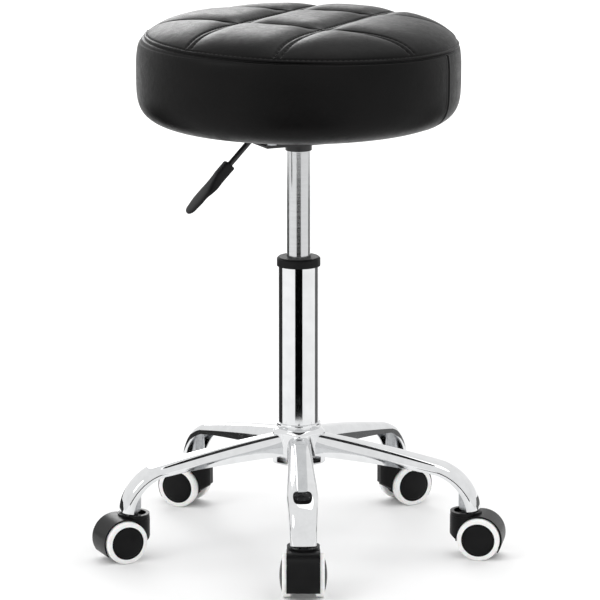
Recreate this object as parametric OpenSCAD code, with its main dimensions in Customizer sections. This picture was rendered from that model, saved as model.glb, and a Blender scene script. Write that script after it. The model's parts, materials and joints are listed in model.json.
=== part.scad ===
// Rolling stylist stool: a padded round seat on a gas lift, a five-leg pressed steel
// base and five twin-wheel castors. Origin on the floor under the column's axis, +Z up.

/* [Seat] */
// Outside diameter of the padded seat
seat_d = 375; // [350:5:400]
// Height of the seat's underside above the floor, lift fully up
seat_underside = 500; // [495:1:505]
// Height of the rim seam above the underside
rim_seam = 99; // [80:1:110]
// Height of the crown above the rim seam
crown_h = 31; // [25:1:40]
// Diameter of the nearly flat middle of the crown
crown_flat_d = 60; // [40:5:100]
// Thickness of the synthetic leather cover
cover_t = 1.2; // [0.8:0.1:2]
// Diameter of the plywood board
board_d = 235; // [225:1:235]
// Thickness of the plywood board
board_t = 12; // [9:1:15]

/* [Gas lift] */
// How far the seat drops from fully up
lift_stroke = 120; // [80:5:120]
// Diameter of the inner, sliding cylinder
cylinder_d = 28; // [28:0.5:28]
// Diameter of the outer column tube
column_d = 48; // [46:1:50]
// Height of the top of the outer column tube
column_top = 336; // [332:1:340]
// Diameter of the piston rod
rod_d = 10; // [8:1:10]

/* [Lever] */
// Direction in which the lever points, seen from above
lever_azimuth = 205; // [180:1:230]
// Distance from the column's axis to the lever's pivot
pivot_r = 34; // [32:1:36]
// Diameter of the lever rod
lever_d = 6.5; // [6:0.1:6.5]
// How far the rod bends down below level, in degrees
lever_bend = 45; // [40:1:50]
// Length of the moulded grip
grip_len = 75; // [70:1:85]

/* [Base] */
// Turn of the whole base about the column, in degrees
base_turn = 1.5; // [-5:0.1:5]
// Distance from the column's axis to a castor stem
stem_r = 204; // [204:1:204]
// Height of a leg's ridge where it meets the hub
leg_root_z = 134.8; // [130:0.2:136]
// Width of a leg at the hub, at its bend and at its foot
leg_widths = [28, 36, 30];
// Depth of a leg's channel at the hub, at its bend and at its foot
leg_depths = [26, 12, 12];
// Thickness of the pressed sheet
leg_sheet = 2; // [1.5:0.1:2.5]

/* [Castors] */
// Diameter of a wheel over its tyre
wheel_d = 50; // [50:1:50]
// Distance between a castor's stem and its axle
trail = 17; // [16:0.5:19]
// Direction in which each castor trails at rest, from the front one anticlockwise
trail_azimuths = [270, 350, 26, 157, 205];

/* [Hidden] */
places = ["front", "right", "rear_right", "rear_left", "left"];
sides = ["a", "b"];
$fn = 64;
eps = 0.01;
run_fit = 0.05;      // radial clearance of a shaft in its bore
gap = 0.35;          // clearance between pieces that pass or press on each other

// Seat outline
seat_r = seat_d / 2;
seam_z = seat_underside + rim_seam;
rim_bulge = 5.3;                     // how far the side band stands out past the seam
rim_r = seat_r - rim_bulge;
bulge_z = seam_z - 28;               // height of the widest point of the side band
base_flat_r = 118;                   // radius where the underside starts to round up
crown_powers = [0.34, 1.48];         // how boxy the crown's outline is, across and up
band_powers = [0.8, 0.6];            // and the side band's, from the underside up
cloth_t = 0.6;
wrap_r = 110;                        // inner edge of the cover's wrap under the board
board_hole_d = 70;

// Mount plate under the seat
flange_t = 2.5;
plate_w = 150;
plate_corner = 12;
plate_top = seat_underside - cloth_t;
channel_x = [-32, 52];
channel_w = 53;
channel_t = 2.5;
channel_floor = seat_underside - 20;
bolt_span = 124;
bolt_d = 6;
socket_od = 31;
socket_z = [471, seat_underside - 17];
taper_end_d = 27;

// Lever, in its own upright plane: x outward from the column's axis
pivot_z = seat_underside - 10.5;
pivot_d = 4;
eye_d = 11;
eye_w = 12;
bend_x = 52;
bend_r = 15;
rod_slope_len = 65;
grip_start = 35;
socket_w = 6.5;      // half-width of the grip where the rod enters
paddle_w = 13;       // half-width of its paddle
tip_r = 11;

// Gas lift
cylinder_top = pivot_z - lever_d / 2 - gap - 4.5;
cylinder_bottom = 242;
cylinder_wall = 1.5;
gland_h = 18;
pin_d = 8;
pin_top = pivot_z - lever_d / 2 - gap;
valve_h = 14;
column_bottom = 97;
column_wall = 2;
column_floor_t = 3;
collar_z = [334.5, 345];
collar_d = 51;
rod_bottom = 89;
piston_z = cylinder_bottom + gland_h + 3;
clip_z = 93;

// Hub and legs
hub_r = 28;
hub_z = [98, 147];
hub_lip_r = 26;
leg_root_x = 25.5;                   // the sheet's weld reaches a little into the hub's wall
leg_bend_x = 169.5;
slope_root = 7;
slope_bend = 12;
slope_foot = 82;
leg_bend_r = 65;
arm_r = (leg_bend_x - hub_r) / (sin(slope_bend) - sin(slope_root));
arm_c = [hub_r - arm_r * sin(slope_root), leg_root_z - arm_r * cos(slope_root)];
bend_c = [leg_bend_x - leg_bend_r * sin(slope_bend),
          arm_c[1] + (arm_r - leg_bend_r) * cos(slope_bend)];
arm_steps = 6;
bend_steps = 9;
section_steps = 10;

// Castor, in its own frame: stem on the z axis, +x the way it trails
stem_d = 11;
stem_z = [33, 79];
stem_collar = [16, 56.5, 60];
socket_r = 9;
hood_top = 54.5;
boss_r = 18.6;
dish_r = 14.5;
dish_depth = 4;
axle_z = wheel_d / 2;
axle_d = 6;
fender_r = 27.5;
fender_t = 1.4;
fender_end = -18;                    // degrees below level where the fender stops
hood_w = 38;
web_t = 4;
stem_boss_r = 9.5;
axle_boss_r = 6;
axle_boss_w = 25;
tyre_x = [13.5, 24];
core_r = 19.5;
core_rim_t = 2;
dome_out = 3;

function leg_azimuth(i) = 270 + base_turn + 72 * i;

// Ridge of a leg by station: first the long shallow arm, then the bend down to the foot.
// Each station is [x, z, slope below level].
function arm_station(s) = let(a = s)
    [arm_c[0] + arm_r * sin(a), arm_c[1] + arm_r * cos(a), a];
function bend_station(a) =
    [bend_c[0] + leg_bend_r * sin(a), bend_c[1] + leg_bend_r * cos(a), a];
root_slope = asin((leg_root_x - arm_c[0]) / arm_r);
leg_path = concat(
    [for (k = [0:arm_steps - 1]) arm_station(root_slope + (slope_bend - root_slope) * k / arm_steps)],
    [for (k = [0:bend_steps]) bend_station(slope_bend + (slope_foot - slope_bend) * k / bend_steps)]);

// Size at station k, going from the hub's value to the bend's and then to the foot's
function blend(v, k) = k <= arm_steps
    ? v[0] + (v[1] - v[0]) * k / arm_steps
    : v[1] + (v[2] - v[1]) * (k - arm_steps) / bend_steps;

// Half-round topped channel: a point at share u (0 to 1) around the arch
function arch_point(w, d, u) = let(a = 180 * u, c = cos(a), s = sin(a))
    [w / 2 * sign(c) * pow(abs(c), 0.6), -d * (1 - pow(s, 0.6))];
function leg_ring(k) = let(p = leg_path[k], w = blend(leg_widths, k), d = blend(leg_depths, k))
    concat(
        [for (j = [0:section_steps]) place(p, arch_point(w, d, j / section_steps))],
        [for (j = [section_steps:-1:0])
            place(p, arch_point(w - 2 * leg_sheet, d - leg_sheet, j / section_steps) - [0, leg_sheet])]);
function place(p, q) = [p[0] + q[1] * sin(p[2]), q[0], p[1] + q[1] * cos(p[2])];

// Outline of the seat set in by t all round, from the middle of the underside to the crown
function seat_outline(t) = concat(
    [[0, seat_underside + t]],
    [for (k = [0:10]) let(a = 90 - 9 * k)
        [base_flat_r + (seat_r - base_flat_r - t) * pow(cos(a), band_powers[0]),
         bulge_z - (bulge_z - seat_underside - t) * pow(sin(a), band_powers[1])]],
    [for (k = [1:4]) let(a = 20 * k)
        [rim_r - t + rim_bulge * cos(a), bulge_z + (seam_z - bulge_z) * sin(a)]],
    [for (k = [0:9]) let(a = 9.2 * k)
        [(rim_r - t) * pow(cos(a), crown_powers[0]),
         seam_z + (crown_h - t) * pow(sin(a), crown_powers[1])]],
    [[crown_flat_d / 2, seam_z + crown_h - t], [0, seam_z + crown_h - t]]);

module ring(r_out, r_in, z0, z1) {
    translate([0, 0, z0]) difference() {
        cylinder(r = r_out, h = z1 - z0);
        translate([0, 0, -eps]) cylinder(r = r_in, h = z1 - z0 + 2 * eps);
    }
}

module rounded_square(w, r) {
    square([w, w - 2 * r], center = true);
    square([w - 2 * r, w], center = true);
    for (x = [-1, 1], y = [-1, 1]) translate([x, y] * (w / 2 - r)) circle(r);
}

// ---- base ----

module hub() color("gainsboro") rotate_extrude($fn = 96) difference() {
    union() {
        translate([column_d / 2, hub_z[0]]) square([hub_r - column_d / 2, 38]);
        translate([column_d / 2, hub_z[0]]) square([hub_lip_r - column_d / 2, hub_z[1] - hub_z[0]]);
        translate([hub_lip_r - 4, hub_z[0] + 38]) intersection() {
            circle(6);
            square(6);
        }
    }
    translate([hub_r, hub_z[0]]) rotate(45) square(4, center = true);
}

module leg(i) color("gainsboro") rotate([0, 0, leg_azimuth(i)]) {
    n = 2 * (section_steps + 1);
    last = len(leg_path) - 1;
    polyhedron(
        points = [for (k = [0:last]) each leg_ring(k)],
        faces = concat(
            [for (j = [0:section_steps - 1]) [j, n - 1 - j, n - 2 - j, j + 1]],
            [for (k = [0:last - 1], j = [0:n - 1]) let(a = k * n + j, b = k * n + (j + 1) % n)
                [a, b, b + n]],
            [for (k = [0:last - 1], j = [0:n - 1]) let(a = k * n + j, b = k * n + (j + 1) % n)
                [a, b + n, a + n]],
            [for (j = [0:section_steps - 1]) [j, j + 1, n - 2 - j, n - 1 - j] + last * n * [1, 1, 1, 1]]),
        convexity = 6);
}

module at_stems() for (i = [0:4]) rotate([0, 0, leg_azimuth(i)]) translate([stem_r, 0, 0]) children();

module stem_sockets() color("silver") at_stems() intersection() {
    ring(socket_r, stem_d / 2 + run_fit, stem_collar[2], 92);
    translate([bend_c[0] - stem_r, 0, bend_c[1]]) rotate([90, 0, 0])
        cylinder(r = leg_bend_r - leg_sheet + 0.5, h = 30, center = true, $fn = 128);
}

module castor_stems() color("silver") at_stems() {
    translate([0, 0, stem_z[0]]) cylinder(d = stem_d, h = stem_z[1] - stem_z[0] - 2);
    translate([0, 0, stem_z[1] - 2]) cylinder(d1 = stem_d, d2 = stem_d - 4, h = 2);
    translate([0, 0, stem_collar[1]]) cylinder(d = stem_collar[0], h = stem_collar[2] - stem_collar[1]);
}

module outer_column() color("gainsboro") difference() {
    translate([0, 0, column_bottom]) cylinder(d = column_d, h = column_top - column_bottom, $fn = 96);
    translate([0, 0, column_bottom + column_floor_t])
        cylinder(d = column_d - 2 * column_wall, h = column_top, $fn = 96);
    translate([0, 0, column_bottom - 1]) cylinder(d = rod_d + 2 * run_fit, h = 10);
}

module column_collar() color("black") difference() {
    union() {
        ring(collar_d / 2, cylinder_d / 2 + run_fit, collar_z[0], collar_z[1] - 2);
        translate([0, 0, collar_z[1] - 2]) difference() {
            cylinder(d1 = collar_d, d2 = collar_d - 4, h = 2);
            translate([0, 0, -1]) cylinder(d = cylinder_d + 2 * run_fit, h = 4);
        }
    }
    translate([0, 0, collar_z[0] - 1]) cylinder(d = column_d, h = column_top - collar_z[0] + 1, $fn = 96);
}

module guide_bush() color("dimgray")
    ring(column_d / 2 - column_wall, cylinder_d / 2 + run_fit, cylinder_bottom + 4, column_top);

module thrust_bearing() color("silver") {
    floor_z = column_bottom + column_floor_t;
    ring(14, rod_d / 2 + run_fit, floor_z, floor_z + 1.5);
    ring(14, rod_d / 2 + run_fit, floor_z + 4.5, floor_z + 6);
    for (k = [0:7]) rotate([0, 0, 45 * k]) translate([9.5, 0, floor_z + 3]) sphere(d = 2.9, $fn = 24);
}

module bumper() color("dimgray")
    ring(15, rod_d / 2 + run_fit, column_bottom + column_floor_t + 6, column_bottom + 23);

module retaining_clip() color("dimgray") difference() {
    ring(9, rod_d / 2 - 1, clip_z, clip_z + 1.2);
    translate([0, -4, clip_z - 1]) cube([12, 8, 4]);
}

// ---- piston rod, turning in the column ----

module piston_rod() color("silver") difference() {
    union() {
        translate([0, 0, rod_bottom]) cylinder(d = rod_d, h = piston_z - rod_bottom);
        translate([0, 0, piston_z]) cylinder(d = cylinder_d - 2 * cylinder_wall - 0.2, h = 12);
    }
    ring(rod_d, rod_d / 2 - 1 - run_fit, clip_z - run_fit, clip_z + 1.2 + run_fit);
    translate([0, 0, piston_z + 6]) rotate_extrude()
        translate([cylinder_d / 2 - cylinder_wall, 0]) circle(d = 3, $fn = 24);
}

// ---- seat side of the lift ----

module gas_cylinder() color("gainsboro") difference() {
    union() {
        translate([0, 0, cylinder_bottom]) cylinder(d = cylinder_d, h = socket_z[0] - cylinder_bottom);
        translate([0, 0, socket_z[0]])
            cylinder(d1 = cylinder_d, d2 = taper_end_d, h = cylinder_top - socket_z[0]);
    }
    translate([0, 0, cylinder_bottom - 1])
        cylinder(d = cylinder_d - 2 * cylinder_wall, h = cylinder_top - cylinder_bottom - 1.5);
    translate([0, 0, cylinder_bottom]) cylinder(d = pin_d + 2 * run_fit, h = cylinder_top);
}

module cylinder_gland() color("dimgray")
    ring(cylinder_d / 2 - cylinder_wall, rod_d / 2 + run_fit, cylinder_bottom, cylinder_bottom + gland_h);

module valve_body() color("goldenrod")
    ring(cylinder_d / 2 - cylinder_wall, pin_d / 2 + run_fit, cylinder_top - 2.5 - valve_h, cylinder_top - 2.5);

module release_pin() color("silver") {
    translate([0, 0, cylinder_top - 27]) cylinder(d = pin_d, h = pin_top - cylinder_top + 25.5);
    translate([0, 0, pin_top - 1.5]) cylinder(d1 = pin_d, d2 = pin_d - 4, h = 1.5);
}

module at_lever() rotate([0, 0, lever_azimuth]) children();

module at_bolts() for (x = [-1, 1], y = [-1, 1]) translate([x, y, 0] * bolt_span / 2) children();

module mount_plate() color("black") at_lever() {
    ear_y = eye_w / 2 + 0.5;
    difference() {
        union() {
            translate([0, 0, plate_top - flange_t])
                linear_extrude(flange_t) rounded_square(plate_w, plate_corner);
            translate([channel_x[0], -channel_w / 2, channel_floor])
                cube([channel_x[1] - channel_x[0], channel_w, plate_top - channel_floor - eps]);
        }
        translate([channel_x[0] + channel_t, -channel_w / 2 + channel_t, channel_floor + channel_t])
            cube([channel_x[1] - channel_x[0], channel_w - 2 * channel_t, 30]);
        translate([0, 0, socket_z[0]]) cylinder(d = socket_od - 1, h = 20);
        at_bolts() translate([0, 0, plate_top - 5]) cylinder(d = bolt_d + 0.5, h = 10);
    }
    difference() {
        translate([0, 0, socket_z[0]]) cylinder(d = socket_od, h = socket_z[1] - socket_z[0]);
        translate([0, 0, socket_z[0]])
            cylinder(d1 = cylinder_d, d2 = taper_end_d, h = cylinder_top - socket_z[0]);
        translate([0, 0, cylinder_top - eps]) cylinder(d = taper_end_d, h = 10);
    }
    for (s = [-1, 1]) difference() {
        translate([pivot_r - 6, s * (ear_y + 1.25) - 1.25, channel_floor + channel_t - eps])
            cube([12, 2.5, 14]);
        translate([pivot_r, 0, pivot_z]) rotate([90, 0, 0]) cylinder(d = pivot_d, h = 40, center = true);
    }
}

module lever_pivot_pin() color("silver") at_lever() translate([pivot_r, 0, pivot_z]) rotate([90, 0, 0]) {
    cylinder(d = pivot_d, h = 21, center = true);
    for (s = [-1, 1]) translate([0, 0, s * 11]) cylinder(d = 7, h = 2, center = true);
}

module plate_bolts() color("silver") at_lever() at_bolts() {
    translate([0, 0, plate_top - flange_t - 1.6]) cylinder(d = 12, h = 1.6);
    translate([0, 0, plate_top - flange_t - 5.6]) cylinder(d = 10 / cos(30), h = 4, $fn = 6);
    translate([0, 0, plate_top - flange_t - eps])
        cylinder(d = bolt_d, h = flange_t + cloth_t + cover_t + board_t - 1);
}

module tee_nuts() color("silver") at_lever() at_bolts() {
    board_top = seat_underside + cover_t + board_t;
    ring(4, bolt_d / 2, board_top - 9, board_top);
    ring(9, bolt_d / 2, board_top, board_top + 1.2);
}

module seat_board() color("burlywood") difference() {
    translate([0, 0, seat_underside + cover_t]) cylinder(d = board_d, h = board_t, $fn = 96);
    translate([0, 0, seat_underside]) cylinder(d = board_hole_d, h = 30);
    at_lever() at_bolts() translate([0, 0, seat_underside]) cylinder(r = 4, h = 30);
}

module under_cloth() color("dimgray") difference() {
    translate([0, 0, seat_underside - cloth_t]) cylinder(d = board_d, h = cloth_t, $fn = 96);
    translate([0, 0, seat_underside - 5]) cylinder(d = board_hole_d, h = 10);
    at_lever() at_bolts() translate([0, 0, seat_underside - 5]) cylinder(r = 4, h = 10);
}

module seat_foam() color("khaki") difference() {
    rotate_extrude($fn = 96) polygon(seat_outline(cover_t + 0.1));
    translate([0, 0, seat_underside]) cylinder(d = board_d + 0.2, h = cover_t + board_t + 0.1, $fn = 96);
    at_lever() at_bolts() translate([0, 0, seat_underside]) cylinder(d = 19, h = board_t + 3);
}

module seat_cover() color("black") difference() {
    rotate_extrude($fn = 128) polygon(seat_outline(0));
    rotate_extrude($fn = 128) polygon(seat_outline(cover_t));
    translate([0, 0, seat_underside - 1]) cylinder(r = wrap_r, h = cover_t + 2, $fn = 96);
}

// ---- lever, drawn along +x and turned to its place ----

module down_the_slope(s) {
    bend_end = [bend_x + bend_r * sin(lever_bend), pivot_z - bend_r * (1 - cos(lever_bend))];
    translate([bend_end[0], 0, bend_end[1]]) rotate([0, lever_bend, 0]) translate([s, 0, 0]) children();
}

module lever_rod() color("black") at_lever() difference() {
    union() {
        translate([1, 0, pivot_z]) rotate([0, 90, 0]) cylinder(d = lever_d, h = bend_x);
        translate([bend_x, 0, pivot_z - bend_r]) rotate([90, 0, 0]) intersection() {
            rotate_extrude() translate([bend_r, 0]) circle(d = lever_d + 0.3, $fn = 32);
            linear_extrude(20, center = true)
                polygon([[0, 0], [0, 40], [40 * tan(lever_bend), 40]]);
        }
        down_the_slope(-1) rotate([0, 90, 0]) cylinder(d = lever_d, h = rod_slope_len + 1);
        translate([pivot_r, 0, pivot_z]) rotate([90, 0, 0]) cylinder(d = eye_d, h = eye_w, center = true);
    }
    translate([pivot_r, 0, pivot_z]) rotate([90, 0, 0])
        cylinder(d = pivot_d + 2 * run_fit, h = 20, center = true);
}

// Seen from above the grip flares from the rod's socket into a paddle with a round end
module lever_grip() color("black") at_lever() down_the_slope(grip_start) difference() {
    intersection() {
        translate([0, 0, -8]) linear_extrude(16) polygon(concat(
            [[0, -socket_w], [0, socket_w], [22, socket_w], [42, paddle_w], [52, paddle_w]],
            [for (a = [75:-15:-75]) [grip_len - tip_r * (1 - cos(a)), tip_r * sin(a)]],
            [[52, -paddle_w], [42, -paddle_w], [22, -socket_w]]));
        rotate([90, 0, 0]) linear_extrude(40, center = true)
            polygon([[0, -socket_w], [0, socket_w], [20, 6], [42, 3.5], [grip_len + 1, 2.5],
                     [grip_len + 1, -2], [48, -1.5], [34, -socket_w]]);
    }
    translate([-1, 0, 0]) rotate([0, 90, 0]) cylinder(d = lever_d, h = rod_slope_len - grip_start + 1);
}

// ---- castors ----

module at_castor(i) rotate([0, 0, leg_azimuth(i)]) translate([stem_r, 0, 0])
    rotate([0, 0, trail_azimuths[i] - leg_azimuth(i)]) children();

module at_axle() translate([trail, 0, axle_z]) rotate([90, 0, 0]) children();

// Side view of the hood: the boss with the fender round the wheel, cut off below
module hood_side() difference() {
    union() {
        translate([trail, axle_z]) circle(fender_r, $fn = 96);
        translate([-boss_r, 28]) square([boss_r + trail, hood_top - dish_depth - 28 - 1]);
        polygon([[-boss_r, 28], [-7, 21], [trail, 21], [trail, 35], [-boss_r, 35]]);
    }
    // below this line the hood is open
    polygon([[-60, -10], [-60, 21], [-7, 21], [8, 8], [trail, 12],
             [trail + 60 * cos(fender_end), axle_z + 60 * sin(fender_end)], [100, -10]]);
}

// Seen from above the hood is as round behind as its boss
module hood_plan() {
    circle(r = hood_w / 2);
    translate([0, -hood_w / 2]) square([trail + fender_r + 1, hood_w]);
}

module hood(i) color("black") at_castor(i) difference() {
    union() {
        difference() {
            union() {
                intersection() {
                    rotate([90, 0, 0]) linear_extrude(hood_w, center = true) hood_side();
                    linear_extrude(hood_top) hood_plan();
                }
                translate([0, 0, 28]) cylinder(r = boss_r, h = hood_top - 28);
            }
            at_axle() cylinder(r = fender_r - fender_t, h = hood_w + 2, center = true, $fn = 96);
        }
        rotate([90, 0, 0]) linear_extrude(web_t, center = true) hood_side();
        translate([0, 0, 30]) cylinder(r = stem_boss_r, h = 18);
        at_axle() cylinder(r = axle_boss_r, h = axle_boss_w, center = true);
    }
    translate([0, 0, hood_top - dish_depth]) cylinder(r = dish_r, h = 10);
    translate([0, 0, stem_z[0] - 1]) cylinder(d = stem_d + 2 * run_fit, h = 40);
    at_axle() cylinder(d = axle_d, h = 60, center = true);
}

module axle(i) color("silver") at_castor(i) at_axle() cylinder(d = axle_d, h = 2 * tyre_x[1] - 4, center = true);

// A wheel is drawn on the castor's side given by s (1 or -1)
module at_wheel(i, s) at_castor(i) at_axle() mirror([0, 0, s > 0 ? 0 : 1]) children();

module wheel(i, s) color("black") at_wheel(i, s) difference() {
    rotate_extrude($fn = 96) {
        translate([0, tyre_x[0]]) square([6, tyre_x[1] - tyre_x[0]]);
        translate([core_r - core_rim_t, tyre_x[0]]) square([core_rim_t, tyre_x[1] - tyre_x[0]]);
        translate([0, tyre_x[1] - 2.5]) square([core_r, 2.5]);
        difference() {
            dome_r = (pow(core_r, 2) + pow(dome_out, 2)) / (2 * dome_out);
            intersection() {
                translate([0, tyre_x[1] + dome_out - dome_r]) circle(dome_r, $fn = 180);
                translate([0, tyre_x[1] - eps]) square([core_r, 10]);
            }
        }
    }
    cylinder(d = axle_d + 2 * run_fit, h = tyre_x[1] - 1.6);
}

module tyre(i, s) color("white") at_wheel(i, s) rotate_extrude($fn = 96) {
    corner = 2;
    translate([core_r, tyre_x[0]]) square([wheel_d / 2 - core_r - corner, tyre_x[1] - tyre_x[0]]);
    translate([core_r, tyre_x[0] + corner])
        square([wheel_d / 2 - core_r, tyre_x[1] - tyre_x[0] - 2 * corner]);
    for (y = [tyre_x[0] + corner, tyre_x[1] - corner])
        translate([wheel_d / 2 - corner, y]) circle(corner, $fn = 32);
}

hub();
for (i = [0:4]) leg(i);
stem_sockets();
castor_stems();
outer_column();
column_collar();
guide_bush();
thrust_bearing();
bumper();
retaining_clip();
piston_rod();
gas_cylinder();
cylinder_gland();
valve_body();
release_pin();
mount_plate();
lever_pivot_pin();
lever_rod();
lever_grip();
plate_bolts();
tee_nuts();
seat_board();
under_cloth();
seat_foam();
seat_cover();
for (i = [0:4]) hood(i);
for (i = [0:4]) axle(i);
for (i = [0:4], s = [0, 1])
    wheel(i, 1 - 2 * s);
for (i = [0:4], s = [0, 1])
    tyre(i, 1 - 2 * s);
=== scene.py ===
import json
import math

import bmesh
import bpy
import numpy as np
from mathutils import Matrix, Vector
from mathutils.bvhtree import BVHTree
from mathutils.kdtree import KDTree


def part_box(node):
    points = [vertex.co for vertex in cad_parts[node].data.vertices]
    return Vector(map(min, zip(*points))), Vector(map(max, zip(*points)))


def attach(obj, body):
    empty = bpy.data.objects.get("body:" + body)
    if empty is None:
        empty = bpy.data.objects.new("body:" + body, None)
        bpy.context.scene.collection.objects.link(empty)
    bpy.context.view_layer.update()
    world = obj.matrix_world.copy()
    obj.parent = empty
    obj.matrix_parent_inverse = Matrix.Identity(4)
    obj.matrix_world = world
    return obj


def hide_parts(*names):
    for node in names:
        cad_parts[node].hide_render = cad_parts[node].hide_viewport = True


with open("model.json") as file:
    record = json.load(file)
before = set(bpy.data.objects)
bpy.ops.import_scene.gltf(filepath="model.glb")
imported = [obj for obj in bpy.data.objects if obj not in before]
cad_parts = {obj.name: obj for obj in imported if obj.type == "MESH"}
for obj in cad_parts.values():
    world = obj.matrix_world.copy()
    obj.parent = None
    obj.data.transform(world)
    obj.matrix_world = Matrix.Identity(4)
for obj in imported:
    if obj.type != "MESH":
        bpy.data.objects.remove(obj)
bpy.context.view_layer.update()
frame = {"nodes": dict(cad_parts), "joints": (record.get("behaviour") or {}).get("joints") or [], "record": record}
scene = bpy.context.scene
joints = {j["name"]: j for j in frame["joints"]}
places = ["front", "right", "rear_right", "rear_left", "left"]
mm = 0.001
print("frame loaded:", len(frame["nodes"]), "solids")


# small helpers

def linearColour(text):
    # an sRGB hex value such as "d8d9da" as linear RGBA
    out = []
    for k in (0, 2, 4):
        c = int(text[k:k + 2], 16) / 255
        out.append(c / 12.92 if c <= 0.04045 else ((c + 0.055) / 1.055) ** 2.4)
    return (*out, 1.0)


def addNode(tree, kind, inputs=None, **settings):
    # an input is a value, or the socket of another node
    node = tree.nodes.new(kind)
    for key, value in settings.items():
        setattr(node, key, value)
    for key, value in (inputs or {}).items():
        if isinstance(value, bpy.types.NodeSocket):
            tree.links.new(value, node.inputs[key])
        else:
            node.inputs[key].default_value = value
    return node


def newMaterial(name, **shader):
    # returns the material, its node tree, its shader node and object coordinates in millimetres
    material = bpy.data.materials.new(name)
    material.use_nodes = True
    tree = material.node_tree
    principled = tree.nodes["Principled BSDF"]
    for key, value in shader.items():
        principled.inputs[key.replace("_", " ")].default_value = value
    coords = addNode(tree, "ShaderNodeTexCoord")
    scaled = addNode(tree, "ShaderNodeVectorMath", {0: coords.outputs["Object"], 3: 1 / mm},
                     operation="SCALE")
    return material, tree, principled, scaled.outputs[0]


def noiseOf(tree, coords, grain, detail=2.0, rough=0.5, distortion=0.0):
    # noise whose blotches are about grain millimetres across
    node = addNode(tree, "ShaderNodeTexNoise",
                   {"Vector": coords, "Scale": 1 / grain, "Detail": detail,
                    "Roughness": rough, "Distortion": distortion})
    return node.outputs["Fac"]


def spread(tree, value, low, high, start=0.3, end=0.7):
    # stretches the middle of a noise to low..high
    node = addNode(tree, "ShaderNodeMapRange", {
        "Value": value, "From Min": start, "From Max": end, "To Min": low, "To Max": high})
    return node.outputs["Result"]


def tint(tree, factor, first, second):
    node = addNode(tree, "ShaderNodeMix", {0: factor}, data_type="RGBA")
    node.inputs["A"].default_value = linearColour(first)
    node.inputs["B"].default_value = linearColour(second)
    return node.outputs["Result"]


def bump(tree, height, depth, after=None):
    # depth is the real depth of the relief, in millimetres
    inputs = {"Height": height, "Distance": depth * mm, "Strength": 1.0}
    if after is not None:
        inputs["Normal"] = after
    return addNode(tree, "ShaderNodeBump", inputs).outputs["Normal"]


def link(tree, socket, principled, name):
    tree.links.new(socket, principled.inputs[name])


# materials, from what each real surface is

def makeLeatherette():
    # PU leatherette: a thin black film on knit, embossed with a pebble grain, semi-gloss;
    # grain cells are about 0.8 mm, drawn at 1.3 mm so that they show
    material, tree, shader, coords = newMaterial("pu_leatherette", Roughness=0.36, IOR=1.47)
    shader.inputs["Specular IOR Level"].default_value = 0.12
    blotch = noiseOf(tree, coords, 60, 3)
    link(tree, tint(tree, spread(tree, blotch, 0, 1), "060606", "0b0a0a"), shader, "Base Color")
    wrinkle = noiseOf(tree, coords, 9, 3, 0.6, 0.6)
    cells = addNode(tree, "ShaderNodeTexVoronoi", {"Vector": coords, "Scale": 1 / 1.3},
                    feature="DISTANCE_TO_EDGE").outputs["Distance"]
    pebble = spread(tree, cells, 0, 1, 0.0, 0.22)
    rough = addNode(tree, "ShaderNodeMath", {
        0: spread(tree, wrinkle, 0.32, 0.42), 1: spread(tree, pebble, 0.05, -0.02, 0, 1)},
        operation="ADD").outputs[0]
    link(tree, rough, shader, "Roughness")
    soft = bump(tree, wrinkle, 0.22)
    link(tree, bump(tree, pebble, 0.035, soft), shader, "Normal")
    return material


def makeThread():
    # bonded polyester thread, three-ply, so its surface is ribbed across the stitch; the colour follows the ribs,
    # with painted shade in the grooves between the plies and a painted sheen on their crests
    material, tree, shader, coords = newMaterial("polyester_thread", Roughness=0.5)
    twistReliefAndShade = addNode(tree, "ShaderNodeTexWave", {"Vector": coords, "Scale": 0.35, "Distortion": 1.5})
    # the twist's relief also sets the colour: painted shade in the grooves, painted sheen on the crests
    link(tree, tint(tree, twistReliefAndShade.outputs["Fac"], "070707", "1c1a19"), shader, "Base Color")
    link(tree, bump(tree, twistReliefAndShade.outputs["Fac"], 0.08), shader, "Normal")
    return material


def makeChrome():
    # bright chrome plate over polished steel: faint waviness from polishing bends the reflections
    material, tree, shader, coords = newMaterial("chrome_plate", Metallic=1.0, Roughness=0.05)
    wave = noiseOf(tree, coords, 45, 1)
    haze = noiseOf(tree, coords, 14, 4, 0.6)
    link(tree, tint(tree, spread(tree, haze, 0, 1), "d9dadb", "e2e3e4"), shader, "Base Color")
    link(tree, spread(tree, haze, 0.035, 0.08), shader, "Roughness")
    link(tree, bump(tree, wave, 0.12), shader, "Normal")
    return material


def makeRodSteel():
    # hard chrome on a centreless-ground rod: satin, with hairline marks round it 0.3 mm apart,
    # drawn at 0.9 mm so that they show
    material, tree, shader, coords = newMaterial("ground_hard_chrome", Metallic=1.0, Roughness=0.15)
    squeezed = addNode(tree, "ShaderNodeMapping", {"Vector": coords, "Scale": (0.05, 0.05, 1)})
    hairline = noiseOf(tree, squeezed.outputs[0], 0.9, 2)
    link(tree, tint(tree, spread(tree, hairline, 0, 1), "c2c3c4", "cecfd0"), shader, "Base Color")
    link(tree, spread(tree, hairline, 0.11, 0.19), shader, "Roughness")
    link(tree, bump(tree, hairline, 0.01), shader, "Normal")
    return material


def makeZinc():
    # zinc plated steel: dull grey with a faint bloom
    material, tree, shader, coords = newMaterial("zinc_plated_steel", Metallic=1.0, Roughness=0.3)
    bloom = noiseOf(tree, coords, 3, 4, 0.65)
    link(tree, tint(tree, spread(tree, bloom, 0, 1), "a3a5a8", "c2c4c6"), shader, "Base Color")
    link(tree, spread(tree, bloom, 0.24, 0.42), shader, "Roughness")
    link(tree, bump(tree, bloom, 0.03), shader, "Normal")
    return material


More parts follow.
